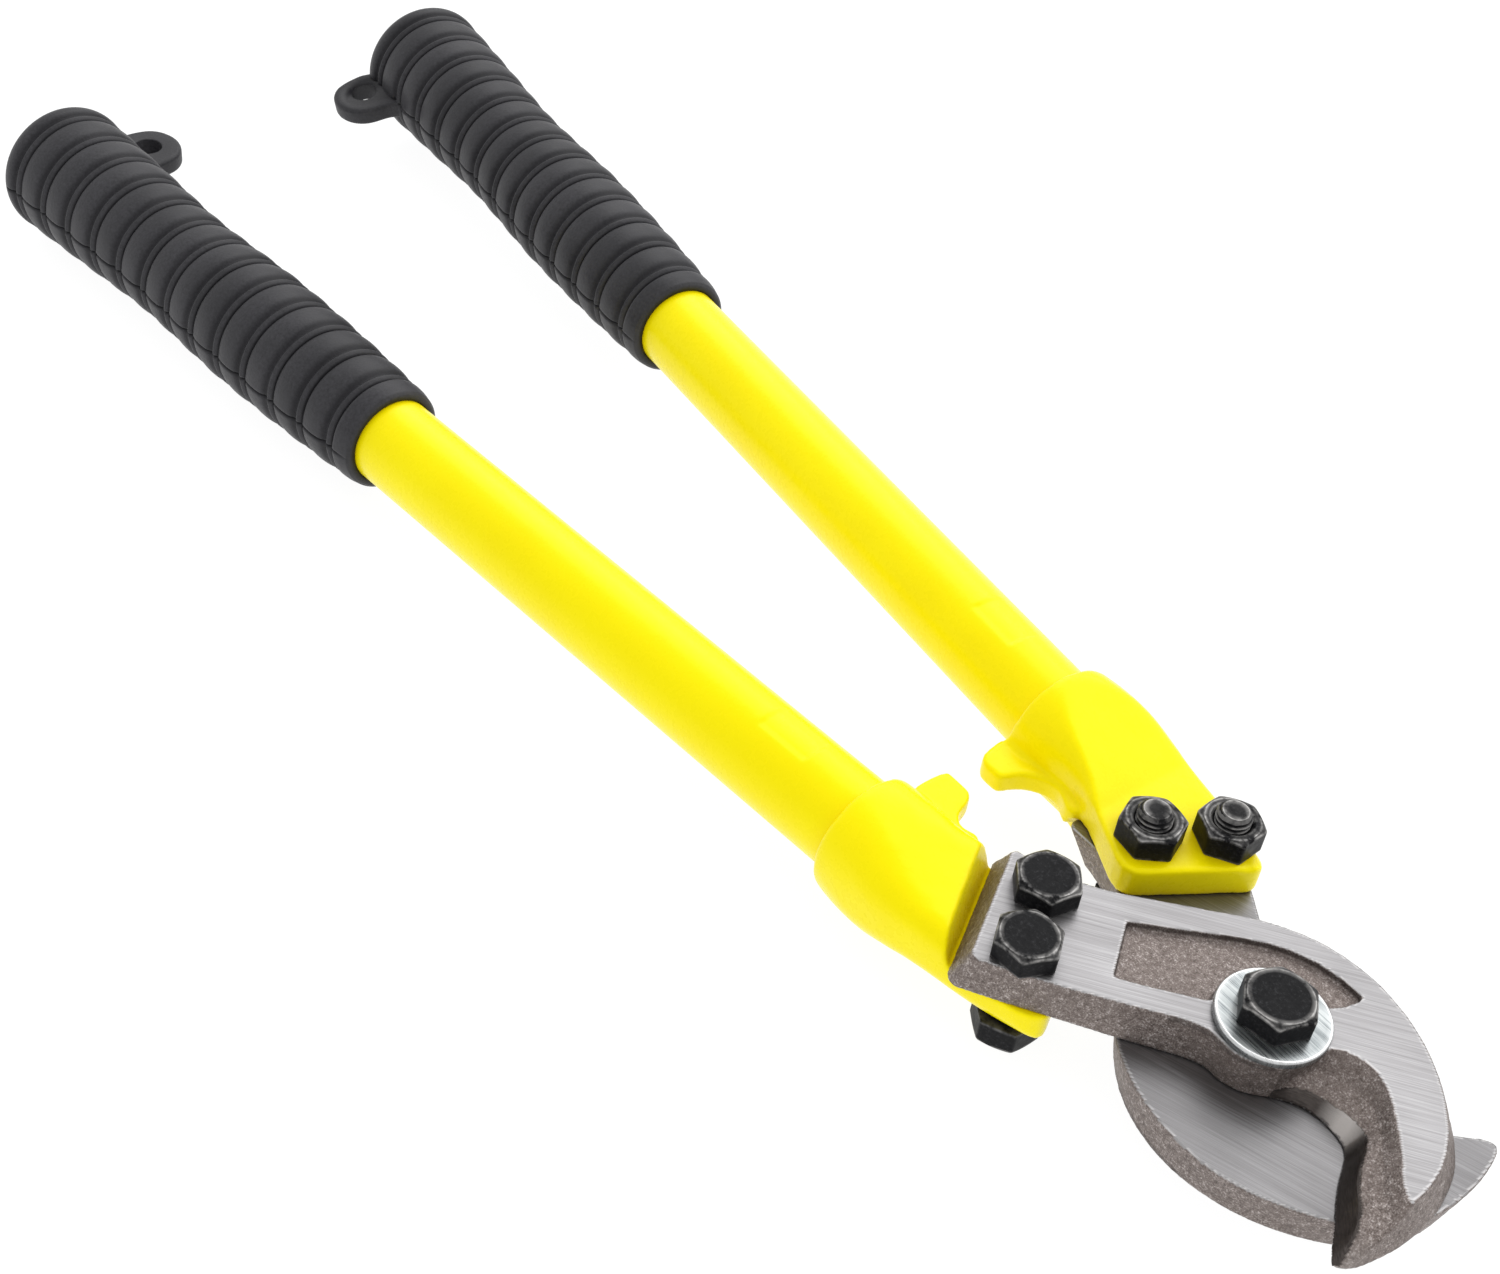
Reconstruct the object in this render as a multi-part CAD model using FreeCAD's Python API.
import FreeCAD, Part
import math
import os

# Cable cutter, 350 mm class, hand operated, two hooked shear jaws on one pivot.
#
# Finished frame: origin at the centre of the closed tool's bounding box, on the
# centre line, in the shear plane between the two jaws.
#   +Z  along the pivot, towards the pivot bolt's head
#   +X  towards the jaw tips; the handles run to -X
#   +Y  the user's left hand when the jaws point away
# Everything is drawn for the RIGHT half (handle on -Y), whose jaw is the upper
# one, and turned over, (x, y, z) -> (x, -y, -z), for the left half. The drawing
# frame is shifted along X only: its pivot is at PIVOT_X, and export_part moves it
# to PIVOT_FINISHED_X. A "reach" is a distance along -X from the drawing's origin.
# Lengths are in millimetres, angles in degrees.

V = FreeCAD.Vector
ORIGIN = V(0, 0, 0)
X_AXIS = V(1, 0, 0)
Z_AXIS = V(0, 0, 1)

# ---------------------------------------------------------------- dimensions
PIVOT_X = 0.6
PIVOT_FINISHED_X = 140.9

GAP = 0.025               # half of the running gap between the jaw faces
JAW_T = 7.4               # z of the jaw's outer face
PLATE_T = 6.0             # thickness of a socket's clamp plate

PIVOT_D = 8.0             # M8 pivot bolt
PIVOT_FIT = 0.05          # radial running clearance in the jaws
PIVOT_FLATS = 11.0        # hexagon across flats
PIVOT_HEAD_H = 4.3
PIVOT_NUT_H = 5.0
PIVOT_STANDOUT = 0.9      # bolt end standing out of the nut
PIVOT_CHAMFER = 0.7       # on the bolt's end and in the nut's mouth
PIVOT_HEAD_ANGLE = -80
PIVOT_NUT_ANGLE = -65
WASHER_D = 18.0
WASHER_T = 1.4
WASHER_FIT = 0.2          # radial clearance on the bolt
WASHER_ROUND = 0.5

CLAMP_D = 6.0             # M6 clamp bolts
CLAMP_FLATS = 10.0
CLAMP_HEAD_H = 4.0
CLAMP_NUT_H = 4.8
CLAMP_HOLE_D = CLAMP_D + 0.3
CLAMP_STANDOUT = 2.0
CLAMP_BOLT_CHAMFER = 0.55
CLAMP_NUT_CHAMFER = 0.6
CLAMP_AT = {"inner": (-36.45, -11.63), "outer": (-29.35, -22.50)}

THREAD_PLAY = 0.03        # radial play between nut and bolt
HEAD_OVERLAP = 0.5        # shank running up into the head

AXIS_TILT = math.radians(5.51)   # between a handle's axis and the centre line
AXIS_Y0 = 15.13           # handle axis to centre line, at reach 0
AXIS_DROP = 1.73          # handle axis below the shear plane
AXIS_DIR = V(-math.cos(AXIS_TILT), -math.sin(AXIS_TILT), 0)
AXIS_NORMAL = V(math.sin(AXIS_TILT), -math.cos(AXIS_TILT), 0)

TUBE_R = 17.4 / 2
TUBE_WALL = 1.3
TUBE_BORE_R = TUBE_R - TUBE_WALL
TUBE_START = 61.0         # reach of the end inside the socket
TUBE_END = 311.5          # reach of the end inside the grip
END_CLEARANCE = 0.3       # bore past the tube's ends
SLIP = 0.04               # radial play of pressed-together parts

CRIMP_START = 79.0        # reach of the two crimp marks pressed into the tube
CRIMP_END = 90.5
CRIMP_W = 6.0
CRIMP_DEPTH = 0.35


# ---------------------------------------------------------------- helpers
def closed_polygon(points):
    return Part.makePolygon(points + [points[0]])


def prism(points, z0, z1):
    face = Part.Face(closed_polygon([V(x, y, z0) for x, y in points]))
    return face.extrude(V(0, 0, z1 - z0))


def spline(points):
    curve = Part.BSplineCurve()
    curve.interpolate(points)
    return curve.toShape()


def outline_edge(points, z):
    """Edge through plan points at height z; two points make a line, more a spline."""
    placed = [V(x, y, z) for x, y in points]
    if len(placed) == 2:
        return Part.makeLine(placed[0], placed[1])
    return spline(placed)


def smooth_prism(segments, z0, z1):
    """Prism on a closed outline of chained segments."""
    edges = [outline_edge(segment, z0) for segment in segments]
    return Part.Face(Part.Wire(edges)).extrude(V(0, 0, z1 - z0))


def solid_from(faces):
    shell = Part.makeShell(faces)
    shell.sewShape()
    solid = Part.makeSolid(shell)
    if solid.Volume < 0:
        solid.reverse()
    return solid


def upright_cylinder(x, y, radius, z0, z1):
    return Part.makeCylinder(radius, z1 - z0, V(x, y, z0), Z_AXIS)


def largest_solid(shape):
    """The largest solid, with split faces merged where that leaves a valid shape."""
    merged = shape.removeSplitter()
    source = merged if merged.isValid() else shape
    return sorted(source.Solids, key=lambda solid: -solid.Volume)[0]


def try_fillet(shape, radius, pick):
    """Fillet the edges chosen by pick(edge), with a smaller radius if need be."""
    edges = [edge for edge in shape.Edges if pick(edge)]
    if not edges:
        return shape
    for trial in (radius, radius * 0.7, radius * 0.4):
        # The kernel raises an error when a radius doesn't fit the edges.
        try:
            rounded = shape.makeFillet(trial, edges)
            keeps_bulk = abs(rounded.Volume) > 0.5 * abs(shape.Volume)
            if rounded.isValid() and rounded.Solids and keeps_bulk:
                return rounded.Solids[0]
        except Exception:
            pass
    return shape


def turn_over(shape):
    """Right half to left half: half a turn about X."""
    turned = shape.copy()
    turned.rotate(ORIGIN, X_AXIS, 180)
    return turned


def axis_y(reach):
    return -(AXIS_Y0 + reach * math.tan(AXIS_TILT))


def axis_point(reach):
    return V(-reach, axis_y(reach), -AXIS_DROP)


def axis_cylinder(radius, start, end):
    """Cylinder on the handle axis between two reaches."""
    length = (end - start) / math.cos(AXIS_TILT)
    return Part.makeCylinder(radius, length, axis_point(start), AXIS_DIR)


def export_part(shape, name):
    shape = shape.copy()
    shape.translate(V(PIVOT_FINISHED_X - PIVOT_X, 0, 0))
    # Repairs a shape that the booleans left slightly faulty.
    if not shape.isValid():
        shape.fix(0.001, 0.001, 0.01)
    shape.exportStep("parts/" + name + ".step")


# ---------------------------------------------------------------- jaw
# Plan outline (x, y) in chained segments, each on the shear face and on the outer
# face; the outer face is smaller because the casting has draft.
BACK_SHEAR = [
    (-47.2, -7.3), (-42.0, -7.2), (-35.9, -5.2), (-30.4, -1.2), (-25.5, 3.5), (-20.7, 8.6),
    (-17.8, 12.0), (-15.2, 15.2), (-11.4, 18.1), (-5.9, 20.6), (-0.5, 22.0), (4.9, 22.5),
    (10.6, 22.1), (16.2, 20.4), (21.9, 17.3), (27.1, 13.5), (30.5, 10.0), (32.4, 7.2),
    (33.8, 3.8), (34.8, 0.4),
]
BACK_OUTER = [
    (-44.2, -9.3), (-40.0, -8.1), (-35.6, -5.9), (-30.0, -1.8), (-25.0, 2.9), (-20.0, 7.6),
    (-16.8, 10.7), (-13.8, 13.3), (-10.0, 15.9), (-5.0, 18.2), (0.0, 19.3), (4.7, 19.5),
    (10.0, 18.7), (15.0, 17.1), (20.0, 14.5), (25.0, 10.8), (28.1, 7.7), (29.9, 5.3),
    (31.5, 2.6), (32.6, -0.3), (33.3, -3.4), (33.6, -6.6),
]
CUTTING_EDGE = [
    (25.0, -10.45), (22.9, -7.3), (21.5, -4.8), (20.0, -3.0), (18.2, -2.2), (15.9, -1.8),
    (13.5, -1.9), (11.2, -2.6), (9.0, -4.0), (7.0, -5.8), (4.7, -7.9), (2.4, -9.1), (0.0, -9.5),
]
# The hook tips continue the back on both faces and lead into the cutting edge.
TIP_UPPER = {
    "back_shear": [(35.3, -3.0), (35.55, -6.5), (35.3, -10.5), (34.6, -14.6), (33.5, -17.8),
                   (32.5, -18.9), (31.1, -19.5)],
    "back_outer": [(33.6, -10.5), (33.2, -14.2), (32.3, -17.0), (31.0, -18.9)],
    "edge": [(31.1, -19.5), (30.0, -17.9), (28.8, -16.0), (27.0, -13.3)],
}
TIP_LOWER = {
    "back_shear": [(35.2, -3.0), (35.25, -6.5), (34.85, -10.5), (34.0, -14.3), (33.1, -16.6),
                   (32.3, -17.45), (31.5, -17.4)],
    "back_outer": [(33.5, -10.5), (33.0, -13.6), (32.3, -15.9), (31.4, -17.1)],
    "edge": [(31.5, -17.4), (30.3, -16.6), (28.9, -15.0), (27.1, -12.9)],
}
TAIL_END_SHEAR = [(-37.2, -29.2), (-48.9, -10.1)]
# From the boss round the tail to the start of the back: (shear face, outer face)
TAIL_SEGMENTS = [
    ([(0.0, -9.5), (-2.4, -9.7), (-4.7, -10.9), (-9.4, -14.3), (-13.5, -17.3), (-20.0, -21.8),
      (-27.0, -26.7), (-33.0, -30.7)],
     [(0.0, -9.5), (-2.6, -9.3), (-5.0, -10.1), (-10.0, -13.7), (-15.0, -17.6), (-20.0, -21.5),
      (-26.5, -26.1), (-31.0, -29.1)]),
    ([(-33.0, -30.7), (-34.6, -31.4), (-36.2, -30.8), (-37.2, -29.2)],
     [(-31.0, -29.1), (-32.1, -29.8), (-33.5, -29.6), (-34.3, -28.6)]),
    (TAIL_END_SHEAR,
     [(-34.3, -28.6), (-44.9, -11.3)]),
    ([(-48.9, -10.1), (-49.4, -8.9), (-48.7, -7.7), (-47.2, -7.3)],
     [(-44.9, -11.3), (-45.3, -10.4), (-45.1, -9.7), (-44.2, -9.3)]),
]

# The lower jaw's back is fuller on the outer face: the growth follows a half sine
# over this run of points.
LOWER_BACK_GROWTH = 2.4
GROWTH_START = 5
GROWTH_SPAN = 16

# Stations of the bevel and the cove along the cutting edge, from the boss to the
# tip: (edge x, y), (bevel top x, y, z), (cove top x, y, z)
CUT_STATIONS = [
    ((7.6, -5.2), (7.6, -5.0, 1.6), (7.9, -4.4, 7.4)),
    ((9.0, -4.0), (8.9, -3.2, 2.2), (8.7, 0.8, 7.4)),
    ((11.2, -2.6), (10.9, -1.6, 2.5), (9.9, 4.6, 7.4)),
    ((13.5, -1.9), (13.4, -0.8, 2.6), (12.4, 5.9, 7.4)),
    ((15.9, -1.8), (16.1, -0.5, 2.9), (15.6, 6.3, 7.4)),
    ((18.2, -2.2), (19.0, -0.5, 3.3), (19.0, 5.0, 7.4)),
    ((20.0, -3.0), (21.5, -1.4, 3.8), (22.9, 2.1, 7.4)),
    ((21.5, -4.8), (23.0, -3.8, 4.0), (25.5, -0.1, 7.4)),
    ((22.9, -7.3), (24.4, -6.4, 4.0), (28.0, -2.5, 7.4)),
    ((25.0, -10.45), (26.6, -9.3, 4.0), (31.0, -5.8, 7.4)),
    ((27.0, -13.3), (29.1, -11.7, 3.9), (34.2, -7.6, 7.4)),
    ((28.8, -15.95), (30.9, -14.4, 3.3), (36.6, -10.8, 6.4)),
    ((30.0, -17.85), (31.7, -16.7, 2.1), (37.4, -14.8, 4.4)),
    ((31.1, -19.45), (32.3, -18.6, 1.0), (38.0, -17.9, 2.2)),
    ((32.1, -20.9), (33.0, -20.4, 0.4), (38.4, -20.4, 1.0)),
]
EDGE_OVERRUN = 0.6        # cutter's lowest row stands this far outside the edge
EDGE_OVERRUN_Z = -0.9
COVE_MID_PLAN = 0.42      # the cove's middle row, from its top towards the bevel
COVE_MID_HEIGHT = 0.62
CUTTER_LID_Z = 11.0

# Plan outline (x, y) of the shallow pocket in the outer face
POCKET = [
    (-25.0, -4.9), (-20.0, 0.3), (-16.8, 3.8), (-13.5, 7.4), (-10.0, 10.6), (-7.1, 12.6),
    (-2.9, 14.4), (1.2, 15.2), (5.3, 15.3), (5.6, 14.2), (5.0, 11.5), (3.0, 7.8),
    (-1.0, 4.0), (-5.0, -1.5), (-7.6, -5.6), (-10.0, -7.6), (-15.0, -11.8), (-18.4, -14.4),
]
POCKET_DEPTH = 1.2
POCKET_CUTTER_H = 3.0
POCKET_CORNER_R = 0.6
SEAT_MARGIN = 0.2         # flat seat past the washer's rim


def fuller_back(points, growth):
    """Push the points outwards from the origin by up to growth."""
    grown = []
    for i, (x, y) in enumerate(points):
        share = 0.0
        if GROWTH_START < i < GROWTH_START + GROWTH_SPAN:
            share = math.sin(math.pi * (i - GROWTH_START) / GROWTH_SPAN)
        scale = 1 + growth * share / math.hypot(x, y)
        grown.append((x * scale, y * scale))
    return grown


def jaw_blank(growth, tip):
    back_outer = fuller_back(BACK_OUTER + tip["back_outer"], growth)
    edge_shear = tip["edge"] + CUTTING_EDGE
    edge_outer = [tip["back_outer"][-1]] + edge_shear[1:]
    segments = [(BACK_SHEAR + tip["back_shear"], back_outer), (edge_shear, edge_outer)]
    faces, low, high = [], [], []
    for shear_points, outer_points in segments + TAIL_SEGMENTS:
        low.append(outline_edge(shear_points, GAP))
        high.append(outline_edge(outer_points, JAW_T))
        faces.append(Part.makeRuledSurface(low[-1], high[-1]))
    faces.append(Part.Face(Part.Wire(low)))
    faces.append(Part.Face(Part.Wire(high)))
    return solid_from(faces)


def cutter_rows():
    """Four rows of points: outside the edge, bevel top, mid cove, cove top."""
    rows = [[], [], [], []]
    last = len(CUT_STATIONS) - 1
    for i, (edge, bevel, cove) in enumerate(CUT_STATIONS):
        before = CUT_STATIONS[max(0, i - 1)][0]
        after = CUT_STATIONS[min(last, i + 1)][0]
        along_x, along_y = after[0] - before[0], after[1] - before[1]
        length = math.hypot(along_x, along_y)
        away_x, away_y = along_y / length, -along_x / length    # away from the metal
        rows[0].append(V(edge[0] + away_x * EDGE_OVERRUN, edge[1] + away_y * EDGE_OVERRUN,
                         EDGE_OVERRUN_Z))
        rows[1].append(V(*bevel))
        rows[2].append(V(cove[0] + (bevel[0] - cove[0]) * COVE_MID_PLAN,
                         cove[1] + (bevel[1] - cove[1]) * COVE_MID_PLAN,
                         cove[2] + (bevel[2] - cove[2]) * COVE_MID_HEIGHT))
        rows[3].append(V(*cove))
    return rows


def jaw_cutter():
    """Solid above the bevel and the cove: three ruled strips, walls and a lid."""
    def lifted(point):
        return V(point.x, point.y, CUTTER_LID_Z)

    rows = cutter_rows()
    low = [spline(row) for row in rows]
    high = [spline([lifted(point) for point in row]) for row in rows]
    faces = []
    for k in range(3):
        faces.append(Part.makeRuledSurface(low[k], low[k + 1]))
        faces.append(Part.makeRuledSurface(high[k], high[k + 1]))
        for j in (0, -1):
            near, far = rows[k][j], rows[k + 1][j]
            faces.append(Part.Face(closed_polygon([near, far, lifted(far), lifted(near)])))
    faces.append(Part.makeRuledSurface(low[0], high[0]))
    faces.append(Part.makeRuledSurface(low[3], high[3]))
    return solid_from(faces)


def jaw(growth, tip):
    body = jaw_blank(growth, tip).cut(jaw_cutter())
    floor = JAW_T - POCKET_DEPTH
    pocket = prism(POCKET, floor, floor + POCKET_CUTTER_H)
    pocket = try_fillet(pocket, POCKET_CORNER_R,
                        lambda edge: abs(edge.BoundBox.ZLength - POCKET_CUTTER_H) < 0.01)
    # The pocket stops short of the flat seat under the washer.
    seat = upright_cylinder(PIVOT_X, 0, WASHER_D / 2 + SEAT_MARGIN, JAW_T - 5, JAW_T + 5)
    body = body.cut(pocket.cut(seat))
    body = body.cut(upright_cylinder(PIVOT_X, 0, PIVOT_D / 2 + PIVOT_FIT, -1, JAW_T + 1))
    for x, y in CLAMP_AT.values():
        body = body.cut(upright_cylinder(x, y, CLAMP_HOLE_D / 2, -1, JAW_T + 1))
    return largest_solid(body)


# ---------------------------------------------------------------- handle socket
# Cross-sections from the round collar to the front of the clamp plate:
# (reach, y outer, y inner, z bottom, z top, outer corner radius, inner corner radius)
BODY_SECTIONS = [
    (73.0, -33.17, -11.17, -12.73, 9.27, 11.0, 11.0),
    (68.0, -32.72, -10.72, -12.73, 9.27, 11.0, 11.0),
    (61.0, -32.9, -10.7, -12.25, 8.75, 9.8, 9.1),
    (55.0, -32.6, -11.2, -10.6, 7.6, 7.4, 6.0),
    (49.5, -32.0, -10.2, -8.3, 6.3, 5.4, 3.4),
    (44.0, -31.0, -7.0, -6.7, 5.5, 4.0, 2.2),
    (37.0, -29.6, -2.5, -6.1, 5.0, 3.4, 2.0),
    (29.0, -27.5, -1.0, -6.0, 4.9, 3.2, 2.0),
    (19.0, -24.6, -1.0, -6.0, 4.9, 3.2, 2.0),
]
CORNER_POINTS = 9         # outline points on each rounded corner
# Plan outline (x, y) of the clamp plate's front and inner edges, carried round the body
PLATE_OUTLINE = [
    (-80.0, -40.0), (-30.5, -40.0), (-26.6, -26.9), (-25.0, -26.2), (-23.2, -25.1),
    (-22.1, -23.7), (-21.9, -22.6), (-22.3, -21.6), (-31.4, -6.0), (-32.6, -4.5),
    (-34.4, -3.9), (-36.4, -4.4), (-46.5, -9.2), (-50.0, -9.8), (-56.0, -8.0), (-80.0, -8.0),
]
# Side profile (x, z) of the metal removed below the plate's nut face and below the
# facet that slopes from there down to the collar
FACET_X = -45.0
FACET = [(-66.0, -12.85), (FACET_X, -PLATE_T), (10.0, -PLATE_T), (10.0, -25.0), (-66.0, -25.0)]
RIM_ROUND = 1.2
RIM_LIMIT_X = -47.0       # the rounded rim lies in front of this

# Stop web on the inner side: lug, hollow and nub, as chained plan segments (x, y).
# The two castings differ a little.
WEB_T = 4.2
WEB_RIGHT = [
    [(-62.0, -22.0), (-68.3, -22.0)],
    [(-68.3, -22.0), (-68.0, -9.4), (-67.9, -4.0), (-67.6, -3.2), (-66.9, -2.9)],
    [(-66.9, -2.9), (-62.9, -2.9)],
    [(-62.9, -2.9), (-61.7, -3.4), (-60.7, -4.8), (-59.9, -7.0), (-58.5, -8.7), (-56.8, -9.2),
     (-55.4, -8.7), (-54.2, -8.5), (-52.8, -9.3), (-51.2, -11.4), (-49.6, -14.0)],
    [(-49.6, -14.0), (-44.0, -22.0)],
    [(-44.0, -22.0), (-62.0, -22.0)],
]
WEB_LEFT = [
    [(-62.0, -22.0), (-68.6, -22.0)],
    [(-68.6, -22.0), (-68.4, -10.0), (-68.0, -6.4), (-67.2, -4.4), (-66.0, -3.5), (-64.8, -3.3)],
    [(-64.8, -3.3), (-62.8, -3.3)],
    [(-62.8, -3.3), (-61.8, -3.9), (-61.2, -5.4), (-60.0, -7.6), (-58.0, -9.4), (-55.7, -10.2),
     (-53.7, -9.9), (-51.9, -8.9), (-50.4, -8.4), (-49.3, -8.8), (-48.6, -10.2), (-48.2, -12.0)],
    [(-48.2, -12.0), (-44.0, -22.0)],
    [(-44.0, -22.0), (-62.0, -22.0)],
]

SEAT_GAP = 0.15           # between the jaw tail's end and the wall behind it
SEAT_LEAN = 0.35          # the wall leans back this much per unit of height
SEAT_CUTTER_H = 14.0

MOUTH_REACH = 67.6        # of the collar's mouth, on the handle axis
MOUTH_TILT = 4.0
BORE_END = 120.0
SPIGOT_OVERLAP = 2.0      # spigot rooted this far in front of the tube's end
SPIGOT_END = 98.0
SPIGOT_CRIMP_DEPTH = 0.1  # relief below the crimped wall
SPIGOT_CRIMP_MARGIN = 0.4


def rounded_section(reach, y_outer, y_inner, z_bottom, z_top, outer_r, inner_r):
    """Closed smooth outline in the plane x = -reach."""
    limit = min(y_inner - y_outer, z_top - z_bottom) / 2.0 - 0.02
    outer_r = min(outer_r, limit)
    inner_r = min(inner_r, limit)
    corners = [
        (y_inner - inner_r, z_top - inner_r, inner_r),
        (y_outer + outer_r, z_top - outer_r, outer_r),
        (y_outer + outer_r, z_bottom + outer_r, outer_r),
        (y_inner - inner_r, z_bottom + inner_r, inner_r),
    ]
    points = []
    for quarter, (y, z, radius) in enumerate(corners):
        for k in range(CORNER_POINTS):
            angle = math.radians(90 * quarter + 90 * k / (CORNER_POINTS - 1.0))
            points.append(V(-reach, y + radius * math.cos(angle), z + radius * math.sin(angle)))
    curve = Part.BSplineCurve()
    curve.interpolate(Points=points, PeriodicFlag=True)
    return Part.Wire([curve.toShape()])


def seat_cutter():
    """Clears the seat above the plate for the jaw tail."""
    end_a, end_b = [V(x, y, 0) for x, y in TAIL_END_SHEAR]
    along = (end_b - end_a).normalize()
    into_socket = V(-along.y, along.x, 0)
    side_a, side_b = end_a - along * 30, end_b + along * 30
    wires = []
    for z in (0.0, SEAT_CUTTER_H):
        up = V(0, 0, z)
        wall = into_socket * (SEAT_GAP + SEAT_LEAN * z)
        front = into_socket * 60
        wires.append(closed_polygon([side_a + wall + up, side_b + wall + up,
                                     side_b - front + up, side_a - front + up]))
    return Part.makeLoft(wires, True, True)


def plate_rim(edge):
    """Nut-side edges of the clamp plate along its front and inner outline."""
    a, b = edge.Vertexes[0].Point, edge.Vertexes[-1].Point
    if abs(a.z + PLATE_T) > 0.01 or abs(b.z + PLATE_T) > 0.01:
        return False
    if (a - b).Length < 0.05 or min(a.x, b.x) < RIM_LIMIT_X:
        return False
    return abs(a.x - FACET_X) > 0.05 or abs(b.x - FACET_X) > 0.05


def crimp_block(depth, margin, side):
    """Box that presses into the tube from its top (side 1) or bottom (side -1)."""
    length = (CRIMP_END - CRIMP_START) + 2 * margin
    width = CRIMP_W + 2 * margin
    block = Part.makeBox(length, width, 10, V(-length / 2, -width / 2, 0))
    block.translate(V(0, 0, TUBE_R - depth))
    if side < 0:
        block.rotate(ORIGIN, X_AXIS, 180)
    block.rotate(ORIGIN, Z_AXIS, math.degrees(AXIS_TILT))
    block.translate(axis_point((CRIMP_START + CRIMP_END) / 2))
    return block


def socket(web_outline):
    body = Part.makeLoft([rounded_section(*row) for row in BODY_SECTIONS], True, False)
    body = body.common(prism(PLATE_OUTLINE, -20, 20))
    facet = Part.Face(closed_polygon([V(x, -60, z) for x, z in FACET]))
    body = body.cut(facet.extrude(V(0, 80, 0)))
    body = largest_solid(body.cut(seat_cutter()))
    body = try_fillet(body, RIM_ROUND, plate_rim)
    body = body.fuse(smooth_prism(web_outline, -WEB_T / 2, WEB_T / 2).cut(seat_cutter()))

    # tilted mouth of the collar
    beyond_mouth = Part.makeBox(30, 80, 60, V(-30, -40, -30))
    beyond_mouth.rotate(ORIGIN, Z_AXIS, MOUTH_TILT)
    beyond_mouth.translate(axis_point(MOUTH_REACH))
    body = body.cut(beyond_mouth)

    # bore for the tube, and the spigot that fills the tube behind the mouth
    body = body.cut(axis_cylinder(TUBE_R + SLIP, TUBE_START - END_CLEARANCE, BORE_END))
    body = body.fuse(axis_cylinder(TUBE_BORE_R - SLIP, TUBE_START - SPIGOT_OVERLAP, SPIGOT_END))
    for side in (1, -1):
        depth = CRIMP_DEPTH + TUBE_WALL + SPIGOT_CRIMP_DEPTH
        body = body.cut(crimp_block(depth, SPIGOT_CRIMP_MARGIN, side))
    for x, y in CLAMP_AT.values():
        body = body.cut(upright_cylinder(x, y, CLAMP_HOLE_D / 2, -PLATE_T - 3, 1))
    return largest_solid(body)


# ---------------------------------------------------------------- tube
def tube():
    body = axis_cylinder(TUBE_R, TUBE_START, TUBE_END)
    body = body.cut(axis_cylinder(TUBE_BORE_R, TUBE_START - 1, TUBE_END + 1))
    for side in (1, -1):
        dent = crimp_block(CRIMP_DEPTH, 0.0, side)
        # the wall pushed into the bore behind the dent
        bulge = crimp_block(CRIMP_DEPTH + TUBE_WALL, 0.0, side)
        bulge = bulge.common(axis_cylinder(TUBE_BORE_R + 0.01, CRIMP_START - 2, CRIMP_END + 2))
        body = body.cut(dent).fuse(bulge.cut(dent))
    return largest_solid(body)


# ---------------------------------------------------------------- grip
# (reach, outside radius): slim throat, palm swell, waist, flared rear
GRIP_PROFILE = [
    (193.6, 9.9), (194.2, 10.5), (196.0, 10.9), (200.0, 11.2), (204.0, 11.5), (208.0, 11.75),
    (212.0, 11.95), (216.0, 12.15), (220.0, 12.3), (224.0, 12.45), (228.0, 12.55), (232.0, 12.65),
    (236.0, 12.7), (240.0, 12.7), (244.0, 12.62), (248.0, 12.5), (252.0, 12.38), (256.0, 12.25),
    (260.0, 12.15), (264.0, 12.1), (268.0, 12.15), (272.0, 12.3), (276.0, 12.5), (280.0, 12.75),
    (284.0, 12.98), (288.0, 13.2), (292.0, 13.4), (296.0, 13.6), (300.0, 13.8), (304.0, 14.0),
    (308.0, 14.2), (311.3, 14.3), (312.8, 14.0), (314.0, 13.2), (314.6, 11.8),
]
GRIP_START = GRIP_PROFILE[0][0]
GRIP_END = GRIP_PROFILE[-1][0]
LEFT_GRIP_TURN = 12.0     # the left grip sits turned this much on its tube

EYE_X, EYE_Y = -309.0, -27.2   # hanging eye, right half
EYE_R = 3.0
EYE_T = 4.0
# Free outline of the eye's tab, front to rear: offsets (x, y) from the eye's centre
EYE_TAB = [
    (10.6, -5.2), (8.7, -3.2), (7.6, -0.2), (6.5, 3.6), (4.0, 6.1),
    (0.0, 7.2), (-4.0, 6.1), (-6.4, 3.6), (-7.1, -0.2), (-7.0, -3.2),
]
EYE_ROOT_REAR = 3.0       # the tab's root ends this far behind the eye
EYE_ROOT_OFFSET = 6.0     # root line to handle axis
EYE_ROUND = 0.9


def eye_tab():
    rim = [(EYE_X + x, EYE_Y + y) for x, y in EYE_TAB]
    root_y = axis_y(-EYE_X) + EYE_ROOT_OFFSET
    root_front = (rim[0][0], root_y)
    root_rear = (EYE_X - EYE_ROOT_REAR, root_y)
    outline = [[root_front, rim[0]], rim, [rim[-1], root_rear], [root_rear, root_front]]
    tab = smooth_prism(outline, -EYE_T / 2 - AXIS_DROP, EYE_T / 2 - AXIS_DROP)
    return try_fillet(tab, EYE_ROUND, lambda edge: edge.BoundBox.ZLength < 0.01
                      and edge.BoundBox.YMax > EYE_Y - 4.0)


def grip():
    profile = [(GRIP_START, 0.0)] + GRIP_PROFILE + [(GRIP_END, 0.0)]
    base = axis_point(0)
    points = [base + AXIS_DIR * (reach / math.cos(AXIS_TILT)) + AXIS_NORMAL * radius
              for reach, radius in profile]
    body = Part.Face(closed_polygon(points)).revolve(base, AXIS_DIR, 360)
    body = body.fuse(eye_tab())
    body = body.cut(axis_cylinder(TUBE_R + SLIP, GRIP_START - 1, TUBE_END + END_CLEARANCE))
    body = body.cut(upright_cylinder(EYE_X, EYE_Y, EYE_R, -12, 12))
    return largest_solid(body)


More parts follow.
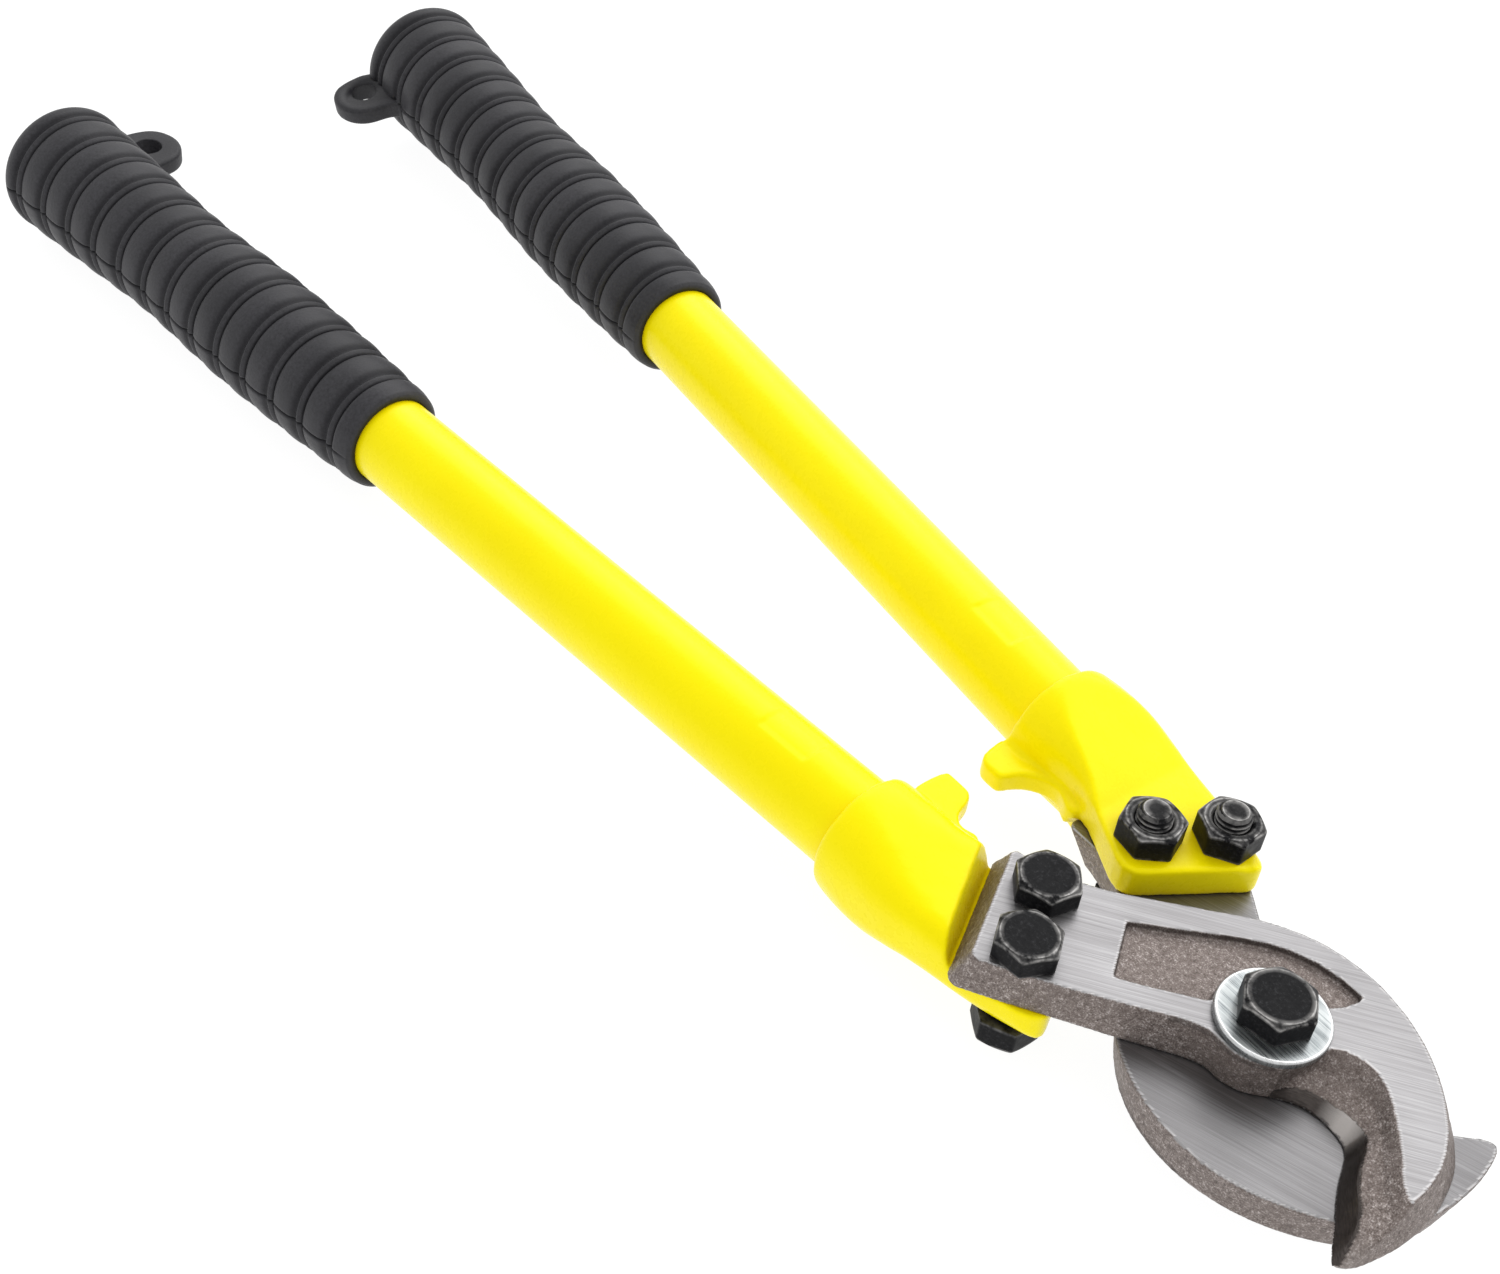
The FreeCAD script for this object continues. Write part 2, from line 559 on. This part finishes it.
# ---------------------------------------------------------------- fasteners
# (side, place, bolt head angle, nut angle); an angle is the direction of one flat's
# normal before the left half is turned over
CLAMPS = [
    ("right", "inner", -70, -75),
    ("right", "outer", -83, -62),
    ("left", "inner", -66, 98),
    ("left", "outer", -88, 56),
]


def hexagon(x, y, flats, z0, z1, angle, rounded_top):
    """Hexagonal prism, corners rounded off by a 30 degree cone at its top or bottom."""
    corner_r = flats / 2.0 / math.cos(math.radians(30))
    corners = []
    for k in range(6):
        direction = math.radians(angle + 30 + 60 * k)
        corners.append((x + corner_r * math.cos(direction), y + corner_r * math.sin(direction)))
    end_r = 0.47 * flats
    rise = (corner_r - end_r) * math.tan(math.radians(30)) + 0.001
    clear_r = corner_r + 0.01
    if rounded_top:
        side = [V(clear_r, 0, z0), V(clear_r, 0, z1 - rise), V(end_r, 0, z1)]
    else:
        side = [V(end_r, 0, z0), V(clear_r, 0, z0 + rise), V(clear_r, 0, z1)]
    profile = closed_polygon([V(0, 0, z0)] + side + [V(0, 0, z1)])
    envelope = Part.Face(profile).revolve(ORIGIN, Z_AXIS, 360)
    envelope.translate(V(x, y, 0))
    return prism(corners, z0, z1).common(envelope)


def bolt(at, diameter, flats, head_z, head_h, tip_z, chamfer, angle):
    """Bolt pointing down, its head standing on head_z."""
    x, y = at
    radius = diameter / 2
    head = hexagon(x, y, flats, head_z, head_z + head_h, angle, rounded_top=True)
    shank = upright_cylinder(x, y, radius, tip_z + chamfer, head_z + HEAD_OVERLAP)
    tip = Part.makeCone(radius - chamfer, radius, chamfer, V(x, y, tip_z), Z_AXIS)
    return largest_solid(head.fuse(shank).fuse(tip))


def nut(at, diameter, flats, top_z, height, chamfer, angle):
    x, y = at
    radius = diameter / 2
    z0 = top_z - height
    body = hexagon(x, y, flats, z0, top_z, angle, rounded_top=False)
    body = body.cut(upright_cylinder(x, y, radius + THREAD_PLAY, z0 - 1, top_z + 1))
    mouth = Part.makeCone(radius + chamfer, radius, chamfer, V(x, y, z0 - 0.001), Z_AXIS)
    return largest_solid(body.cut(mouth))


def clamp_bolt(at, angle):
    tip_z = -(PLATE_T + CLAMP_NUT_H + CLAMP_STANDOUT)
    return bolt(at, CLAMP_D, CLAMP_FLATS, head_z=JAW_T, head_h=CLAMP_HEAD_H,
                tip_z=tip_z, chamfer=CLAMP_BOLT_CHAMFER, angle=angle)


def clamp_nut(at, angle):
    return nut(at, CLAMP_D, CLAMP_FLATS, top_z=-PLATE_T, height=CLAMP_NUT_H,
               chamfer=CLAMP_NUT_CHAMFER, angle=angle)


def pivot_bolt():
    stack = JAW_T + WASHER_T
    return bolt((PIVOT_X, 0), PIVOT_D, PIVOT_FLATS, head_z=stack, head_h=PIVOT_HEAD_H,
                tip_z=-(stack + PIVOT_NUT_H + PIVOT_STANDOUT),
                chamfer=PIVOT_CHAMFER, angle=PIVOT_HEAD_ANGLE)


def pivot_nut():
    return nut((PIVOT_X, 0), PIVOT_D, PIVOT_FLATS, top_z=-(JAW_T + WASHER_T),
               height=PIVOT_NUT_H, chamfer=PIVOT_CHAMFER, angle=PIVOT_NUT_ANGLE)


def pivot_washer(z0):
    """Washer with its rim rounded on the face away from the jaws."""
    z1 = z0 + WASHER_T
    away_z = z1 if z0 > 0 else z0
    body = upright_cylinder(PIVOT_X, 0, WASHER_D / 2, z0, z1)
    body = body.cut(upright_cylinder(PIVOT_X, 0, PIVOT_D / 2 + WASHER_FIT, z0 - 1, z1 + 1))
    return try_fillet(body, WASHER_ROUND,
                      lambda edge: abs(edge.BoundBox.XLength - WASHER_D) < 0.01
                      and abs(edge.BoundBox.ZMin - away_z) < 0.01)


# ---------------------------------------------------------------- build
os.makedirs("parts", exist_ok=True)

export_part(jaw(0.0, TIP_UPPER), "upper_jaw")
export_part(turn_over(jaw(LOWER_BACK_GROWTH, TIP_LOWER)), "lower_jaw")

export_part(socket(WEB_RIGHT), "right_handle_socket")
export_part(turn_over(socket(WEB_LEFT)), "left_handle_socket")

handle_tube = tube()
export_part(handle_tube, "right_handle_tube")
export_part(turn_over(handle_tube), "left_handle_tube")

right_grip = grip()
export_part(right_grip, "right_grip")
left_grip = right_grip.copy()
left_grip.rotate(axis_point(0), AXIS_DIR, -LEFT_GRIP_TURN)
export_part(turn_over(left_grip), "left_grip")

for side, place, head_angle, nut_angle in CLAMPS:
    pieces = {
        "bolt": clamp_bolt(CLAMP_AT[place], head_angle),
        "nut": clamp_nut(CLAMP_AT[place], nut_angle),
    }
    for kind, piece in pieces.items():
        if side == "left":
            piece = turn_over(piece)
        export_part(piece, side + "_clamp_" + kind + "_" + place)

export_part(pivot_bolt(), "pivot_bolt")
export_part(pivot_washer(JAW_T), "pivot_washer_top")
export_part(pivot_washer(-JAW_T - WASHER_T), "pivot_washer_bottom")
export_part(pivot_nut(), "pivot_nut")
